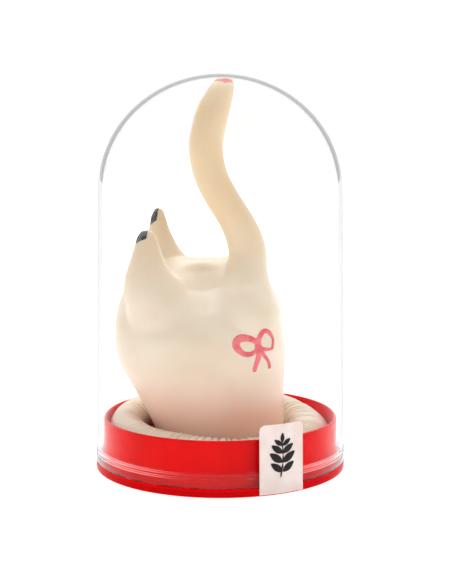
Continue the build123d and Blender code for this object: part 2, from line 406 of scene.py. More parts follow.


# %% [markdown]
# ## The latex
#
# Dip-moulded latex is cream, satin and a little translucent: light sinks in about a millimetre and comes out
# warmer. From the back upwards the colour turns tan, fully so on the tail. Towards the floor a painted pink
# light stands in for the red light that the base throws up into the latex, so the colour leans to pink with
# falling height. Height is read from Object coordinates, because every finished piece sits at the origin.


# %% Latex material
def latex_material(name, cream, tan, red_bounce_share):
    """Cream latex that turns tan up the tail, with painted pink light from the red base towards the floor, by
    red_bounce_share.
    """
    material, tree, shader = new_material(name, 0.42)
    place, axes = coordinates(tree, "Object")
    height = axes["Z"]
    up_tail = ramp_between(tree, height, 0.040, 0.066)
    toned = colour_mix(tree, up_tail, cream, tan)
    cloud = use_group(tree, mottle, Scale=70.0, Low=0.38, High=0.72, Tint=colour(226, 196, 168))
    wire(tree, toned, cloud.inputs["Colour"])
    soft_cloud = colour_mix(tree, 0.35, toned, cloud.outputs["Colour"])
    # Painted light: towards the floor the colour is pushed to pink, standing in for red light thrown up by the base.
    glow = value_math(tree, "MULTIPLY", ramp_between(tree, height, 0.030, 0.004), red_bounce_share)
    with_painted_bounce = colour_mix(tree, glow, soft_cloud, colour(255, 186, 160))
    wire(tree, with_painted_bounce, shader.inputs["Base Color"])
    shader.inputs["Subsurface Weight"].default_value = 0.45
    shader.inputs["Subsurface Radius"].default_value = (1.0, 0.55, 0.30)
    shader.inputs["Subsurface Scale"].default_value = 0.0015
    shader.inputs["Coat Weight"].default_value = 0.35
    shader.inputs["Coat Roughness"].default_value = 0.16
    uneven = use_group(tree, unevenness, Broad=110.0, Fine=1400.0, Fine_Share=0.25)
    bump(tree, shader, uneven.outputs["Height"], 0.25, 0.0004)
    vary_roughness(tree, shader, noise_node(tree, place, 240.0).outputs["Fac"], 0.36, 0.52)
    return material


latex = latex_material("latex_skin", colour(246, 228, 207), colour(231, 205, 166), 0.62)
print("made", latex.name)

# %% [markdown]
# ## One seamless skin
#
# The mouse is a single moulding, so its body, ears and tail must flow into each other. Modelling that by hand,
# face by face, is slow. It is quicker to stack level ellipses into three plain tubes, let the voxel Remesh
# modifier melt the tubes into one surface, and then smooth only where they meet, so the rest keeps its shape.

# %% Ellipses up each part: height, centre x, centre y, half width x, half width y
body_rings = (
    (1.9, 0.0, 0.0, 15.4, 15.4),
    (6.0, 0.0, 0.0, 15.5, 15.4),
    (10.0, -0.3, 0.0, 15.8, 15.6),
    (19.0, -2.7, 0.0, 18.1, 16.9),
    (26.0, -4.4, 0.0, 20.1, 17.9),
    (33.0, -5.0, 0.0, 20.4, 18.1),
    (39.0, -5.1, 0.8, 19.3, 15.3),
    (42.0, -5.1, 1.8, 18.2, 12.7),
    (44.0, -5.1, 2.7, 17.2, 10.6),
    (47.0, -5.0, 4.2, 14.2, 7.2),
    (48.7, -4.8, 5.0, 10.5, 5.2),
    (49.6, -4.6, 5.3, 6.5, 3.2),
)
near_ear_rings = (
    (28.0, -9.0, -6.5, 11.5, 9.5),
    (38.0, -11.7, -7.6, 10.0, 8.2),
    (41.8, -14.4, -7.9, 8.0, 7.2),
    (45.8, -16.0, -8.1, 6.2, 5.9),
    (48.5, -16.7, -8.2, 4.8, 4.7),
    (52.0, -16.9, -8.3, 3.5, 3.2),
    (54.3, -16.9, -8.3, 2.8, 2.5),
    (56.2, -16.9, -8.3, 2.1, 1.9),
    (57.4, -16.8, -8.3, 1.25, 1.2),
)
far_ear_rings = (
    (38.0, -11.6, 6.6, 8.6, 7.4),
    (44.0, -12.9, 7.4, 7.6, 6.4),
    (49.7, -13.9, 8.0, 5.4, 4.4),
    (53.2, -14.6, 8.2, 3.7, 3.2),
    (57.0, -15.0, 8.3, 2.4, 2.2),
    (59.8, -15.1, 8.3, 1.7, 1.5),
    (61.5, -15.0, 8.3, 0.9, 0.8),
)
tail_rings = (
    (30.0, 4.0, -4.0, 11.0, 11.0),
    (38.0, 5.4, -5.6, 8.8, 9.6),
    (42.5, 5.9, -4.9, 6.6, 8.2),
    (45.0, 6.1, -3.2, 5.7, 7.0),
    (48.0, 6.5, -1.5, 4.8, 5.7),
    (52.0, 6.5, -0.3, 4.6, 4.6),
    (57.0, 4.9, 0.0, 4.6, 4.2),
    (62.0, 2.0, 0.0, 4.7, 4.1),
    (66.5, -0.7, 0.0, 4.5, 4.1),
    (71.0, -2.6, 0.0, 4.2, 4.1),
    (76.5, -3.4, 0.0, 4.1, 4.1),
    (82.0, -2.5, 0.0, 4.1, 4.0),
    (86.5, -1.2, 0.0, 3.9, 3.8),
    (89.0, -0.2, 0.0, 3.4, 3.3),
    (91.2, 0.6, 0.0, 2.8, 2.7),
    (92.35, 0.9, 0.0, 1.8, 1.7),
)


# %% Filling in between the given ellipses
def in_between(rings, steps):
    """More ellipses on a smooth curve through the given ones (Catmull-Rom)."""
    given = [Vector(ring) for ring in rings]
    last = len(given) - 1
    found = []
    for index in range(last):
        before, here = given[max(index - 1, 0)], given[index]
        there, beyond = given[index + 1], given[min(index + 2, last)]
        for step in range(steps):
            t = step / steps
            found.append(
                0.5 * (2 * here + (there - before) * t
                       + (2 * before - 5 * here + 4 * there - beyond) * t ** 2
                       + (3 * here - before - 3 * there + beyond) * t ** 3)
            )
    found.append(given[last])
    return found


# %% Tubes of bridged rings
def add_tube(mesh, rings, segments=96, steps=5):
    """A closed tube through level ellipses, made by bridging one circle to the next."""
    loops = []
    for height, x, y, half_x, half_y in in_between(rings, steps):
        circle = bmesh.ops.create_circle(mesh, segments=segments, radius=MM)["verts"]
        bmesh.ops.scale(mesh, vec=(half_x, half_y, 1.0), verts=circle)
        bmesh.ops.translate(mesh, vec=(x * MM, y * MM, height * MM), verts=circle)
        loops.append(list({edge for vert in circle for edge in vert.link_edges}))
    bmesh.ops.edgeloop_fill(mesh, edges=loops[0])
    bmesh.ops.edgeloop_fill(mesh, edges=loops[-1])
    for lower, upper in zip(loops, loops[1:]):
        bmesh.ops.bridge_loops(mesh, edges=lower + upper)


def finish_mesh(mesh, name):
    """Points the faces outwards and hands the mesh over to a new object."""
    bmesh.ops.recalc_face_normals(mesh, faces=mesh.faces)
    for face in mesh.faces:
        face.smooth = True
    data = bpy.data.meshes.new(name)
    mesh.to_mesh(data)
    mesh.free()
    return new_object(name, data)


def settle(piece):
    """Replaces a piece's mesh by what its modifiers make of it."""
    bpy.context.view_layer.update()
    evaluated = piece.evaluated_get(bpy.context.evaluated_depsgraph_get())
    settled = bpy.data.meshes.new_from_object(evaluated)
    piece.modifiers.clear()
    piece.data = settled


skin_mesh = bmesh.new()
for rings in (body_rings, near_ear_rings, far_ear_rings, tail_rings):
    add_tube(skin_mesh, rings)
skin = finish_mesh(skin_mesh, "mouse_skin")
print("tubes:", len(skin.data.polygons), "faces")

# %% Melt the tubes together
VOXEL = 0.00048
melt = skin.modifiers.new("melt", "REMESH")
melt.mode = "VOXEL"
melt.voxel_size = VOXEL
melt.use_smooth_shade = True
settle(skin)
print("melted skin:", len(skin.data.polygons), "faces")


# %% Soften the places where the parts meet
def soften(piece, centres, iterations):
    """Smooths the vertices near each (centre, reach) in millimetres, fading out with distance."""
    group = piece.vertex_groups.new(name="joins")
    for vert in piece.data.vertices:
        share = 0.0
        for centre, reach in centres:
            distance = (vert.co / MM - Vector(centre)).length / reach
            share = max(share, 1.0 - distance)
        if share > 0.0:
            group.add([vert.index], min(1.0, 2.0 * share), "REPLACE")
    smooth = piece.modifiers.new("soften", "SMOOTH")
    smooth.factor = 0.5
    smooth.iterations = iterations
    smooth.vertex_group = "joins"
    settle(piece)
    piece.vertex_groups.clear()


even_out = skin.modifiers.new("even_out", "SMOOTH")
even_out.factor = 0.5
even_out.iterations = 6
settle(skin)
soften(
    skin,
    (
        ((3.0, 3.0, 49.0), 5.0),
        ((-9.5, -5.0, 46.5), 4.5),
        ((-7.5, 6.0, 48.0), 7.0),
        ((-14.0, 11.0, 42.0), 8.0),
        ((-13.0, 0.0, 47.0), 7.0),
        ((-4.0, -12.5, 40.0), 6.0),
        ((1.0, -10.0, 43.0), 4.5),
        ((10.0, -10.0, 40.0), 8.0),
        ((-16.0, -14.0, 36.0), 9.0),
        ((10.0, 4.0, 45.0), 8.0),
    ),
    30,
)
print("softened joins")

# %% The dip of the back between ears and tail
def press_in(piece, path):
    """Pushes the skin in along nodes of (x, y, z, reach, depth) in mm, fading out towards the reach."""
    nodes = [(Vector(node[:3]), node[3], node[4]) for node in path]
    moved = []
    for vert in piece.data.vertices:
        place = vert.co / MM
        best = None
        for (a, reach_a, depth_a), (b, reach_b, depth_b) in zip(nodes, nodes[1:]):
            share = max(0.0, min(1.0, (place - a).dot(b - a) / (b - a).length_squared))
            reach = reach_a + share * (reach_b - reach_a)
            far = (place - (a + (b - a) * share)).length / reach
            if far < 1.0 and (best is None or far < best[0]):
                best = (far, depth_a + share * (depth_b - depth_a))
        if best is not None:
            moved.append((vert.index, vert.normal * -best[1] * MM * (1.0 - best[0] ** 2) ** 2))
    for index, shift in moved:
        piece.data.vertices[index].co += shift


press_in(skin, ((-4.5, -3.5, 47.5, 5.0, 0.9), (-3.8, -8.0, 45.0, 5.5, 1.5), (-3.0, -12.5, 41.0, 4.0, 0.8)))
press_in(skin, ((2.0, 4.0, 50.3, 2.6, -1.0), (2.6, 4.0, 51.3, 2.2, -0.6)))
skin.modifiers.new("after_pressing", "SMOOTH").iterations = 5
settle(skin)
print("pressed in the back")

# %% Open the lower end and give the skin its wall
SKIN_WALL = 0.0010
OPEN_ABOVE = 0.3
opened = bmesh.new()
opened.from_mesh(skin.data)
bmesh.ops.bisect_plane(
    opened,
    geom=opened.verts[:] + opened.edges[:] + opened.faces[:],
    plane_co=(0.0, 0.0, (flange_top + OPEN_ABOVE) * MM),
    plane_no=(0.0, 0.0, 1.0),
    clear_inner=True,
)
opened.to_mesh(skin.data)
opened.free()
outer_skin = BVHTree.FromObject(skin, bpy.context.evaluated_depsgraph_get())

wall = skin.modifiers.new("wall", "SOLIDIFY")
wall.thickness = SKIN_WALL
wall.offset = -1.0
settle(skin)
skin.data.materials.clear()
skin.data.materials.append(latex)
for polygon in skin.data.polygons:
    polygon.use_smooth = True
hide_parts("figure_body", "figure_tail")
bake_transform(skin)
print("skin:", len(skin.data.polygons), "faces")

# %% [markdown]
# ## The base
#
# A turned outline is the natural way to a round moulding: one chain of corners from the top of the boss,
# round the ring and flange, and back under the floor to the axis. Spinning it makes the walls, and a bevel on
# the sharp edges gives the small radii that catch the light on real plastic.


# %% Turning an outline
def round_edges(mesh, radius, above=30.0, segments=3):
    """Bevels every edge that is sharper than the given angle in degrees."""
    sharp = [e for e in mesh.edges if e.is_manifold and e.calc_face_angle() > math.radians(above)]
    bmesh.ops.bevel(
        mesh, geom=sharp, offset=radius * MM, offset_type="OFFSET", segments=segments,
        profile=0.5, affect="EDGES", material=-1, clamp_overlap=True,
    )


def turned(outline, steps=192):
    """A chain of (radius, height) points, its two ends on the axis, spun once round."""
    mesh = bmesh.new()
    corners = [mesh.verts.new((radius * MM, 0.0, height * MM)) for radius, height in outline]
    chain = [mesh.edges.new(pair) for pair in zip(corners, corners[1:])]
    bmesh.ops.spin(
        mesh, geom=corners + chain, cent=(0.0, 0.0, 0.0), axis=(0.0, 0.0, 1.0),
        angle=2 * math.pi, steps=steps, use_merge=True,
    )
    bmesh.ops.remove_doubles(mesh, verts=mesh.verts, dist=MERGE_DISTANCE)
    bmesh.ops.recalc_face_normals(mesh, faces=mesh.faces)
    return mesh


RING_RADIUS = 28.1
RING_WALL = 0.8
RING_TOP = 12.4
BOSS_RADIUS = 14.2
BOSS_WALL = 1.0
FOOT_RADIUS = 27.0
FLOOR_UNDERSIDE = 0.8

base_outline = (
    (0.0, boss_top), (BOSS_RADIUS, boss_top), (BOSS_RADIUS, flange_top),
    (RING_RADIUS - RING_WALL, flange_top), (RING_RADIUS - RING_WALL, RING_TOP),
    (RING_RADIUS, RING_TOP), (RING_RADIUS, flange_top), (flange_radius, flange_top),
    (flange_radius, 0.0), (FOOT_RADIUS, 0.0), (FOOT_RADIUS, FLOOR_UNDERSIDE),
    (BOSS_RADIUS - BOSS_WALL, FLOOR_UNDERSIDE), (BOSS_RADIUS - BOSS_WALL, boss_top - BOSS_WALL),
    (0.0, boss_top - BOSS_WALL),
)
base_mesh = turned(base_outline)
round_edges(base_mesh, 0.22)
base_piece = finish_mesh(base_mesh, "red_base")
base_piece.data.set_sharp_from_angle(angle=math.radians(40))
print("base:", len(base_piece.data.polygons), "faces")


# %% Red plastic
def red_plastic():
    material, tree, shader = new_material("red_plastic", 0.22)
    cloud = use_group(tree, mottle, Colour=colour(255, 0, 2), Tint=colour(236, 0, 6), Scale=90.0)
    _, axes = coordinates(tree, "Object")
    # Painted shade: the red darkens over the flange's lowest rim, where less light falls.
    low_rim_shade = ramp_between(tree, axes["Z"], 0.0018, 0.0012)
    shaded_red = colour_mix(tree, low_rim_shade, cloud.outputs["Colour"], colour(200, 0, 4))
    wire(tree, shaded_red, shader.inputs["Base Color"])
    marks = use_group(tree, scratches, Scale=260.0, Stretch=(1.0, 1.0, 6.0))
    vary_roughness(tree, shader, marks.outputs["Mask"], 0.2, 0.42)
    uneven = use_group(tree, unevenness, Broad=160.0, Fine=2600.0, Fine_Share=0.15)
    bump(tree, shader, uneven.outputs["Height"], 0.12, 0.0003)
    shader.inputs["Subsurface Weight"].default_value = 0.2
    shader.inputs["Subsurface Radius"].default_value = (1.0, 0.1, 0.05)
    shader.inputs["Subsurface Scale"].default_value = 0.001
    shader.inputs["Specular IOR Level"].default_value = 0.06
    return material


base_piece.data.materials.append(red_plastic())
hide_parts("base")
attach(base_piece, "base")

# %% [markdown]
# ## The clear dome
#
# A clear moulding only looks right with a real wall: light has to go in through one skin and out through the
# other, so the outline here runs up the outside, over the crown and back down the inside. Near the mouth it
# carries a thicker band and two hair-fine ribs. Moulded ribs gather light at the sides, and a weak emission
# stands in for that. The index of refraction is lower than real plastic's, so that the red ring and the tail
# aren't washed out. The mouth of a cheap moulding is never quite even, so noise nudges its lowest vertices.

# %% Dome outline
DOME_FOOT = 29.85
DOME_SHOULDER = 29.0
SHOULDER_HEIGHT = 66.0
SKIRT_WALL = 1.35
SIDE_WALL = 1.05
CROWN_WALL = 0.8
BAND_TOP = 3.5
BAND_DEPTH = 0.13
RIBS = (3.95, 4.95)
RIB_HALF = 0.15
RIB_DEPTH = 0.20
LIT_HALF = 0.09
RIB_LIGHT = (1.0, 0.97, 0.96, 1.0)
DOME_IOR = 1.16


def side_radius(height):
    """Outside radius of the tapered side at a height."""
    share = (height - flange_top) / (SHOULDER_HEIGHT - flange_top)
    return DOME_FOOT + share * (DOME_SHOULDER - DOME_FOOT)


def crown(radius, top, count=48):
    """A quarter ellipse from the axis down to the shoulder."""
    rise = top - SHOULDER_HEIGHT
    angles = [math.pi / 2 * (1 - index / count) for index in range(count + 1)]
    return [(radius * math.cos(a) if a < math.pi / 2 else 0.0, SHOULDER_HEIGHT + rise * math.sin(a)) for a in angles]


dome_outline = crown(DOME_SHOULDER, dome_top)
for step in range(1, 12):
    height = SHOULDER_HEIGHT + (RIBS[1] + 1.0 - SHOULDER_HEIGHT) * step / 11
    dome_outline.append((side_radius(height), height))
for rib in reversed(RIBS):
    for offset, depth in ((1.0, 0.0), (0.4, 1.0), (-0.4, 1.0), (-1.0, 0.0)):
        height = rib + offset * RIB_HALF
        dome_outline.append((side_radius(height) + depth * RIB_DEPTH, height))
dome_outline += [
    (side_radius(BAND_TOP + 0.15), BAND_TOP + 0.15), (side_radius(BAND_TOP) + BAND_DEPTH, BAND_TOP),
    (DOME_FOOT + BAND_DEPTH, flange_top + 0.2), (DOME_FOOT, flange_top + 0.02),
    (DOME_FOOT - SKIRT_WALL + 0.15, flange_top + 0.02), (DOME_FOOT - SKIRT_WALL, flange_top + 0.2),
]
inner_foot, inner_shoulder = DOME_FOOT - SKIRT_WALL, DOME_SHOULDER - SIDE_WALL
for step in range(1, 12):
    share = step / 12
    dome_outline.append(
        (inner_foot + share * (inner_shoulder - inner_foot), flange_top + share * (SHOULDER_HEIGHT - flange_top))
    )
dome_outline += reversed(crown(inner_shoulder, dome_top - CROWN_WALL))
dome_mesh = turned(dome_outline, steps=256)
for vert in dome_mesh.verts:
    if vert.co.z < (BAND_TOP + 0.3) * MM:
        push = noise.noise(vert.co * 900.0) + 0.6 * noise.noise(vert.co * 2600.0)
        vert.co.xy *= 1.0 + 0.0016 * min(push, 0.6)
        if vert.co.z < (flange_top + 0.5) * MM:
            vert.co.z += 0.00006 * (1.0 + push)
dome_piece = finish_mesh(dome_mesh, "clear_dome")
dome_piece.data.set_sharp_from_angle(angle=math.radians(50))
print("dome:", len(dome_piece.data.polygons), "faces")


# %% Clear plastic
def clear_plastic():
    """Glass-clear inside, greyed at grazing angles as painted shade along its outline, with ribs that glow with
    painted light at the sides; shadows pass through it.
    """
    material, tree, shader = new_material("clear_plastic", 0.02)
    shader.inputs["IOR"].default_value = DOME_IOR
    grazing = tree.nodes.new("ShaderNodeLayerWeight")
    grazing.inputs["Blend"].default_value = 0.5
    # Painted shade: the colour greys at grazing angles, standing in for the dark surroundings that the outline
    # mirrors.
    edge = ramp_between(tree, grazing.outputs["Facing"], 0.62, 0.97)
    toned = colour_mix(tree, edge, (0.995, 0.995, 0.99, 1.0), (0.93, 0.94, 0.93, 1.0))
    wire(tree, toned, shader.inputs["Base Color"])
    _, axes = coordinates(tree, "Object")
    wire(tree, ramp_between(tree, axes["Z"], 0.0056, 0.0050), shader.inputs["Coat Weight"])
    shader.inputs["Coat Roughness"].default_value = 0.06
    shader.inputs["Transmission Weight"].default_value = 1.0
    marks = use_group(tree, scratches, Scale=90.0, Stretch=(1.0, 1.0, 5.0))
    vary_roughness(tree, shader, marks.outputs["Mask"], 0.0, 0.03)
    at_sides = ramp_between(tree, value_math(tree, "ABSOLUTE", axes["X"], 0.0), 0.006, 0.026)
    low_rib, high_rib = (within(tree, axes["Z"], rib * MM, LIT_HALF * MM) for rib in RIBS)
    lit = value_math(tree, "MULTIPLY", value_math(tree, "ADD", low_rib, high_rib), at_sides)
    wire(tree, colour_mix(tree, lit, (0.0, 0.0, 0.0, 1.0), RIB_LIGHT), shader.inputs["Emission Color"])
    shader.inputs["Emission Strength"].default_value = 0.5
    passing = tree.nodes.new("ShaderNodeBsdfTransparent")
    passing.inputs["Color"].default_value = (0.97, 0.97, 0.97, 1.0)
    rays = tree.nodes.new("ShaderNodeLightPath")
    choice = tree.nodes.new("ShaderNodeMixShader")
    wire(tree, rays.outputs["Is Shadow Ray"], choice.inputs[0])
    wire(tree, shader.outputs[0], choice.inputs[1])
    wire(tree, passing.outputs[0], choice.inputs[2])
    wire(tree, choice.outputs[0], tree.nodes["Material Output"].inputs["Surface"])
    return material


dome_piece.data.materials.append(clear_plastic())
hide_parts("dome")
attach(dome_piece, "dome")

# %% [markdown]
# ## The rolled collar
#
# The open end of the latex is rolled outwards into a fat ring that lies round the figure inside the base. A
# roll of thin rubber puckers: fine pleats run across it, sharp in their valleys and round on their crests.
# A circle spun into a ring gives even quads to work with, and each vertex then moves in or out by a pattern
# of pleats that wanders, so that no two are alike. The ring leans up towards the back left.

# %% Collar shape
ROLL_INNER = 16.4
ROLL_OUTER = 26.6
ROLL_HALF_HEIGHT = 4.3
ROLL_MIDDLE = 8.9
ROLL_LEAN = math.radians(4.5)
ROLL_HIGH_SIDE = math.radians(130)
ROLL_LOW_SIDE = math.radians(-62)
PLEATS = 84
ROLL_STEPS = 720

roll = bmesh.new()
section = bmesh.ops.create_circle(roll, segments=44, radius=MM)["verts"]
half_width = (ROLL_OUTER - ROLL_INNER) / 2
bmesh.ops.scale(roll, vec=(half_width, ROLL_HALF_HEIGHT, 1.0), verts=section)
bmesh.ops.rotate(roll, cent=(0, 0, 0), matrix=Matrix.Rotation(math.pi / 2, 3, "X"), verts=section)
bmesh.ops.translate(roll, vec=((ROLL_INNER + half_width) * MM, 0.0, 0.0), verts=section)
bmesh.ops.spin(
    roll, geom=roll.verts[:] + roll.edges[:], cent=(0, 0, 0), axis=(0, 0, 1),
    angle=2 * math.pi, steps=ROLL_STEPS, use_merge=True,
)
bmesh.ops.remove_doubles(roll, verts=roll.verts, dist=MERGE_DISTANCE)


def pleat_height(turn, around):
    """How far a pleated roll stands in or out, in millimetres, at a place on it."""
    ring = Vector((math.cos(turn), math.sin(turn), 0.0))
    wander = 2.2 * noise.noise(ring * 3.0) + 0.9 * noise.noise(ring * 11.0)
    slant = 0.55 * math.sin(around) + 0.4 * noise.noise(ring * 5.0 + Vector((0, 0, around)))
    phase = PLEATS * turn + 3.0 * wander + slant * 2.2
    crest = abs(math.sin(phase / 2)) ** 0.55 - 0.75
    strength = 0.55 + 0.8 * noise.noise(ring * 6.0 + Vector((3.0, 1.0, around * 0.6)))
    inner_side = 0.5 - 0.5 * math.cos(around)
    rightward = 0.5 + 0.5 * math.cos(turn - 0.35)
    reach = 0.14 + 0.85 * inner_side * (0.8 + 0.6 * rightward) + 0.75 * rightward * (0.4 + 0.6 * inner_side)
    lump = 0.8 * noise.noise(ring * 2.4 + Vector((5.0, 0.0, around * 0.35)))
    # Painted shade: how much tan the material lays into a pleat's valley.
    crease_shade = max(0.0, min(1.0, -crest * 1.8)) * min(1.0, reach)
    return 1.25 * crest * max(0.3, strength) * reach + lump * 0.5, crease_shade


roll_centre = (ROLL_INNER + half_width) * MM
crease_shade_layer = roll.verts.layers.float.new("crease_shade")
for vert in roll.verts:
    turn = math.atan2(vert.co.y, vert.co.x)
    out = Vector((math.cos(turn), math.sin(turn), 0.0))
    from_centre = vert.co - out * roll_centre
    around = math.atan2(from_centre.z, from_centre.dot(out))
    leftness = max(0.0, -math.cos(turn)) ** 2
    gap = 2.3 * leftness * (0.5 - 0.5 * math.cos(around))
    frontness = max(0.0, math.cos(turn - ROLL_LOW_SIDE))
    from_centre.z *= 1.0 - 0.17 * frontness
    vert.co = out * roll_centre + from_centre
    swell, vert[crease_shade_layer] = pleat_height(turn, around)
    vert.co += from_centre.normalized() * (swell - gap) * MM
lean_axis = Vector((math.sin(ROLL_HIGH_SIDE), -math.cos(ROLL_HIGH_SIDE), 0.0))
bmesh.ops.rotate(roll, cent=(0, 0, 0), matrix=Matrix.Rotation(ROLL_LEAN, 3, lean_axis), verts=roll.verts)
bmesh.ops.translate(roll, vec=(0.0, 0.0, ROLL_MIDDLE * MM), verts=roll.verts)
collar = finish_mesh(roll, "rolled_latex_collar")


def roll_material():
    """The skin's latex, thicker and glossier, with painted tan shade down in its creases."""
    material = latex_material("latex_roll", colour(253, 244, 228), colour(253, 244, 228), 0.10)
    tree = material.node_tree
    shader = tree.nodes["Principled BSDF"]
    plain = shader.inputs["Base Color"].links[0].from_socket
    crease_shade = tree.nodes.new("ShaderNodeAttribute")
    crease_shade.attribute_name = "crease_shade"
    wire(tree, colour_mix(tree, crease_shade.outputs["Fac"], plain, colour(222, 172, 120)), shader.inputs["Base Color"])
    shader.inputs["Coat Roughness"].default_value = 0.2
    return material


collar.data.materials.append(roll_material())
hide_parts("rolled_collar")
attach(collar, "figure")
print("collar:", len(collar.data.polygons), "faces", "high side z", max(v.co.z for v in collar.data.vertices))

# %% [markdown]
# ## Brushed paint
#
# The bow, the ear tips, the face and the tail's cap are painted on by hand, so the paint is a thin film that
# lies on the skin, thickest in the middle of a stroke and thinning to nothing at its edge. A grid of quads is
# laid out as the stroke, and each vertex is then dropped onto the skin by a ray. Its rim sinks just under
# the surface, which gives a clean painted edge with no step.

# %% Laying a vertex on the skin
FILM = 0.09
RIM_SINK = 0.05
BACKING = 0.00008


def laid(origin, direction, lift):
    """The point where a ray meets the skin, lifted along the skin's normal; lengths in metres and mm."""
    hit, normal, _, _ = outer_skin.ray_cast(origin, direction)
    if hit is None:
        hit, normal, _, _ = outer_skin.find_nearest(origin)
    return hit + normal.normalized() * lift * MM


def film_object(mesh, name, material, body, nodes):
    """Gives a laid film its thickness and its paint, and seats it on its body."""
    bmesh.ops.remove_doubles(mesh, verts=mesh.verts, dist=MERGE_DISTANCE)
    for face in mesh.faces:
        face.smooth = True
    data = bpy.data.meshes.new(name)
    mesh.to_mesh(data)
    mesh.free()
    piece = new_object(name, data)
    backing = piece.modifiers.new("backing", "SOLIDIFY")
    backing.thickness = BACKING
    backing.offset = -1.0
    settle(piece)
    piece.data.materials.clear()
    piece.data.materials.append(material)
    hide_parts(*nodes)
    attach(piece, body)
    print(name, len(piece.data.polygons), "faces")


def turn_outwards(mesh, verts, outward):
    """Reverses the faces on these vertices whose normals look against outward(face centre)."""
    faces = {face for vert in verts for face in vert.link_faces}
    for face in faces:
        face.normal_update()
    against = [face for face in faces if face.normal.dot(outward(face.calc_center_median())) < 0]
    bmesh.ops.reverse_faces(mesh, faces=against)


# %% A brush stroke
BRUSH = 1.16


def stroke(mesh, points, closed, lift):
    """A ribbon through (x, height, half width) points, dropped onto the side of the skin that faces -Y."""
    path = list(points)
    if closed:
        path = path + [path[0]]
    places = in_between(path, 8)
    count, across = len(places), 8
    grid = bmesh.ops.create_grid(mesh, x_segments=count - 1, y_segments=across, size=1.0)["verts"]
    for vert in grid:
        index = round((vert.co.x + 1) / 2 * (count - 1))
        side = vert.co.y
        x, height, half = places[index]
        half *= BRUSH
        before, after = places[max(index - 1, 0)], places[min(index + 1, count - 1)]
        if closed and index in (0, count - 1):
            before, after = places[-2], places[1]
        along = Vector((after[0] - before[0], after[1] - before[1])).normalized()
        if not closed:
            end = min(index, count - 1 - index) / 3.0
            half *= math.sqrt(max(0.0, 1.0 - (1.0 - min(end, 1.0)) ** 2)) + 0.02
        ragged = 1.0 + 0.10 * noise.noise(Vector((x * 1.3, height * 1.3, side * 2.0)))
        x += -along.y * side * half * ragged
        height += along.x * side * half * ragged
        raised = lift * math.sqrt(max(0.0, 1.0 - side ** 2)) - (RIM_SINK if abs(side) > 0.99 else 0.0)
        vert.co = laid(Vector((x, -60.0, height)) * MM, Vector((0.0, 1.0, 0.0)), raised)
    turn_outwards(mesh, grid, lambda centre: Vector((0.0, -1.0, 0.0)))


# %% Paint materials
def paint_material(name, main, second, roughness, scale, specular=0.5):
    """Brushed paint: two close tones in soft patches, with a slightly streaky gloss."""
    material, tree, shader = new_material(name, roughness)
    shader.inputs["Specular IOR Level"].default_value = specular
    cloud = use_group(tree, mottle, Colour=main, Tint=second, Scale=scale, Low=0.40, High=0.62)
    wire(tree, cloud.outputs["Colour"], shader.inputs["Base Color"])
    uneven = use_group(tree, unevenness, Broad=600.0, Fine=3000.0, Fine_Share=0.3)
    bump(tree, shader, uneven.outputs["Height"], 0.25, 0.0002)
    vary_roughness(tree, shader, cloud.outputs["Mask"], roughness - 0.08, roughness + 0.12)
    return material


pink = paint_material("bow_pink", colour(232, 92, 102), colour(246, 128, 132), 0.45, 420.0)
charcoal = paint_material("ear_charcoal", colour(62, 64, 66), colour(112, 110, 104), 0.28, 900.0)
cap_red = paint_material("cap_red", colour(255, 38, 8), colour(246, 24, 6), 0.55, 500.0, specular=0.05)
brown = paint_material("face_brown", colour(92, 74, 62), colour(120, 98, 82), 0.35, 700.0)

# %% The bow
left_loop = (
    (8.5, 31.9, 0.49), (7.3, 32.9, 0.67), (6.0, 33.3, 0.76), (4.5, 33.3, 0.89), (3.7, 32.6, 0.94),
    (3.8, 31.3, 0.8), (4.9, 30.1, 0.62), (6.2, 29.5, 0.58), (7.5, 29.7, 0.54), (8.5, 30.6, 0.55),
)
right_loop = (
    (8.7, 31.2, 0.76), (8.8, 32.7, 0.62), (9.5, 34.2, 0.58), (10.3, 34.7, 0.54), (11.4, 34.0, 0.45),
    (12.1, 32.6, 0.27), (12.1, 31.1, 0.25), (11.9, 30.2, 0.31), (10.9, 30.2, 0.4), (9.7, 30.5, 0.49),
)
left_leg = ((9.0, 30.4, 0.6), (8.8, 28.5, 0.62), (8.4, 27.3, 0.54), (8.0, 26.2, 0.49), (7.9, 25.2, 0.40))
right_leg = ((9.3, 30.2, 0.45), (10.2, 28.7, 0.4), (10.9, 27.7, 0.33), (11.3, 26.6, 0.31), (11.4, 25.4, 0.27))

bow_mesh = bmesh.new()
stroke(bow_mesh, left_loop, True, FILM)
stroke(bow_mesh, right_loop, True, FILM * 1.15)
stroke(bow_mesh, left_leg, False, FILM * 1.3)
stroke(bow_mesh, right_leg, False, FILM * 1.45)
film_object(bow_mesh, "painted_pink_bow", pink, "figure", ("painted_bow",))


# %% A dab of paint
def dab(mesh, inside, direction, reach_up, reach_side, ragged=0.08):
    """A rounded patch: rays fan out from a point inside the skin, tilted by the given reaches in degrees."""
    forward = Vector(direction).normalized()
    side = forward.cross(Vector((0.0, 0.0, 1.0))).normalized()
    up = side.cross(forward).normalized()
    rings, around = 12, 48
    origin = Vector(inside) * MM
    grid = bmesh.ops.create_grid(mesh, x_segments=around, y_segments=rings, size=1.0)["verts"]
    for vert in grid:
        turn = math.pi * (vert.co.x + 1.0)
        share = (vert.co.y + 1.0) / 2
        wobble = 1.0 + ragged * noise.noise(Vector((math.cos(turn) * 1.7, math.sin(turn) * 1.7, inside[2])))
        tilt_up = math.radians(reach_up) * share * math.sin(turn) * wobble
        tilt_side = math.radians(reach_side) * share * math.cos(turn) * wobble
        ray = forward + up * math.tan(tilt_up) + side * math.tan(tilt_side)
        raised = FILM * math.sqrt(max(0.0, 1.0 - share ** 2)) - (RIM_SINK if share > 0.99 else 0.0)
        vert.co = laid(origin, ray.normalized(), raised)
    turn_outwards(mesh, grid, lambda centre: centre - origin)


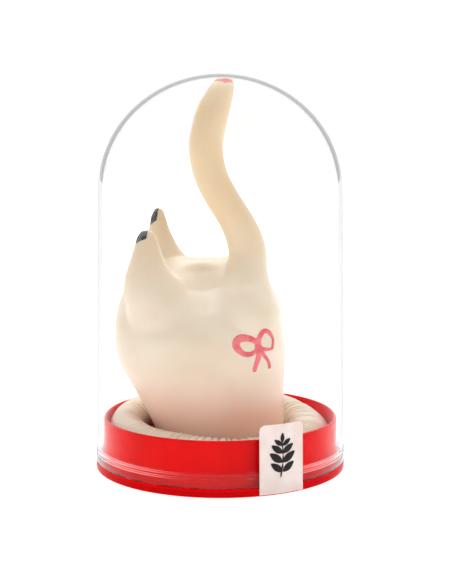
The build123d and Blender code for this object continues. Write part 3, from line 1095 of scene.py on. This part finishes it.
# %% Ear tips, face and cap
near_ear = bmesh.new()
dab(near_ear, (-17.0, -8.2, 54.8), (-0.66, -0.20, 0.72), 58, 66)
film_object(near_ear, "near_ear_tip", charcoal, "figure", ("near_ear_paint",))
far_ear = bmesh.new()
dab(far_ear, (-15.2, 8.2, 58.2), (-0.78, -0.24, 0.58), 62, 62)
film_object(far_ear, "far_ear_tip", charcoal, "figure", ("far_ear_paint",))

FACE_TURN = math.radians(171)
EYE_SPREAD = math.radians(15)
for label, node, turn, height in (
    ("near_eye_dot", "near_eye_paint", FACE_TURN + EYE_SPREAD, 43.6),
    ("far_eye_dot", "far_eye_paint", FACE_TURN - EYE_SPREAD, 43.6),
    ("nose_dot", "nose_paint", FACE_TURN, 38.0),
):
    dot = bmesh.new()
    dab(dot, (-6.0, 0.0, height), (math.cos(turn), math.sin(turn), 0.0), 3.7, 3.4)
    film_object(dot, label, brown, "figure", (node,))

cap = bmesh.new()
dab(cap, (0.95, 0.0, tail_top - 2.3), (0.02, -0.12, 1.0), 56, 56, ragged=0.12)
film_object(cap, "tail_red_cap", cap_red, "tail", ("tail_tip_paint",))

# %% [markdown]
# ## The paper seal
#
# A strip of white paper is stuck over the joint between dome and base. It is a fine grid, curved round the
# axis, a little narrower where its top corners are rounded, with real paper thickness. The seal peels away
# from a line near its top. The print is a plain leafy sprig.

# %% Seal shape
SEAL_TURN = math.radians(-62.6)
SEAL_HALF_ANGLE = math.radians(10.6)
SEAL_BOTTOM = label_low.z / MM
SEAL_TOP = label_high.z / MM
SEAL_FOOT_RADIUS = 30.1
SEAL_HEAD_RADIUS = 29.82
SEAL_CORNER = 1.3
PAPER = 0.12
PRINT_LIFT = 0.09


def on_seal(across, height, lift):
    """A point of the seal: across in millimetres from its middle line, height, and lift off its back."""
    share = (height - SEAL_BOTTOM) / (SEAL_TOP - SEAL_BOTTOM)
    radius = SEAL_FOOT_RADIUS + share * (SEAL_HEAD_RADIUS - SEAL_FOOT_RADIUS) + lift
    turn = SEAL_TURN + across / SEAL_FOOT_RADIUS
    return Vector((radius * math.cos(turn), radius * math.sin(turn), height)) * MM


def seal_half_width(height):
    """Half the seal's width, drawn in round its two top corners."""
    half = SEAL_HALF_ANGLE * SEAL_FOOT_RADIUS
    into = height - (SEAL_TOP - SEAL_CORNER)
    if into <= 0:
        return half
    return half - SEAL_CORNER + math.sqrt(max(0.0, SEAL_CORNER ** 2 - into ** 2))


def paper_wave(across, height):
    """Slight cockling of stuck paper, in millimetres."""
    return 0.05 * noise.noise(Vector((across * 0.35, height * 0.22, 4.0))) + 0.012 * noise.noise(
        Vector((across * 1.4, height * 1.1, 9.0)))


seal_mesh = bmesh.new()
paper_grid = bmesh.ops.create_grid(seal_mesh, x_segments=48, y_segments=96, size=1.0)["verts"]
for vert in paper_grid:
    level = (vert.co.y + 1.0) / 2
    height = SEAL_BOTTOM + (SEAL_TOP - SEAL_BOTTOM) * (1.0 - (1.0 - level) ** 1.5)
    across = vert.co.x * seal_half_width(height)
    vert.co = on_seal(across, height, PAPER + max(0.0, paper_wave(across, height)))


def seal_object(mesh, name, thickness, material, node):
    """Thickens a laid sheet inwards, gives it its material and hides the imported part that it stands for."""
    for face in mesh.faces:
        face.normal_update()
    inward = [face for face in mesh.faces if face.normal.xy.dot(face.calc_center_median().xy) < 0]
    bmesh.ops.reverse_faces(mesh, faces=inward)
    data = bpy.data.meshes.new(name)
    mesh.to_mesh(data)
    mesh.free()
    piece = new_object(name, data)
    backing = piece.modifiers.new("backing", "SOLIDIFY")
    backing.thickness = thickness * MM
    backing.offset = -1.0
    settle(piece)
    for polygon in piece.data.polygons:
        polygon.use_smooth = True
    piece.data.set_sharp_from_angle(angle=math.radians(50))
    piece.data.materials.clear()
    piece.data.materials.append(material)
    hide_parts(node)
    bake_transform(piece)
    print(name, len(piece.data.polygons), "faces")


# %% Paper and ink
def paper_material():
    material, tree, shader = new_material("seal_paper", 0.55)
    cloud = use_group(tree, mottle, Colour=colour(242, 226, 219), Tint=colour(232, 212, 204), Scale=220.0)
    wire(tree, cloud.outputs["Colour"], shader.inputs["Base Color"])
    uneven = use_group(tree, unevenness, Broad=900.0, Fine=6000.0, Fine_Share=0.6)
    bump(tree, shader, uneven.outputs["Height"], 0.2, 0.0001)
    shader.inputs["Subsurface Weight"].default_value = 0.15
    shader.inputs["Subsurface Radius"].default_value = (1.0, 0.6, 0.5)
    shader.inputs["Subsurface Scale"].default_value = 0.0004
    return material


ink = paint_material("seal_ink", colour(24, 22, 24), colour(44, 40, 42), 0.5, 1500.0)
seal_object(seal_mesh, "paper_seal", PAPER, paper_material(), "seal_label")


# %% The printed sprig
def leaf(mesh, base_point, tip_point, half_width):
    """A leaf-shaped film: a disc drawn out between two points given as (across, height)."""
    start, end = Vector(base_point), Vector(tip_point)
    along = end - start
    side = Vector((-along.y, along.x)).normalized()
    disc = bmesh.ops.create_circle(mesh, cap_ends=True, radius=1.0, segments=28)["verts"]
    for vert in disc:
        share = (vert.co.x + 1.0) / 2
        spread = half_width * vert.co.y * (0.55 + 0.45 * math.sin(math.pi * share ** 0.8))
        place = start + along * share + side * spread
        lift = PAPER + max(0.0, paper_wave(place.x, place.y)) + PRINT_LIFT
        vert.co = on_seal(place.x, place.y, lift)


sprig = bmesh.new()
STEM = ((-0.5, 3.9), (-0.2, 5.4), (0.1, 7.0), (0.15, 8.8), (0.0, 10.4), (-0.1, 12.0))
for low, high in zip(STEM, STEM[1:]):
    leaf(sprig, low, (high[0], high[1] + 0.25), 0.2)
for height, size in ((5.2, 3.3), (7.3, 3.6), (9.4, 3.1), (11.1, 2.3)):
    for way in (-1, 1):
        root = (0.05 * way, height)
        leaf(sprig, root, (way * size * 0.88, height + size * 0.62), size * 0.24)
leaf(sprig, (-0.1, 11.8), (0.05, 14.0), 0.5)
seal_object(sprig, "printed_sprig", 0.03, ink, "seal_motif")
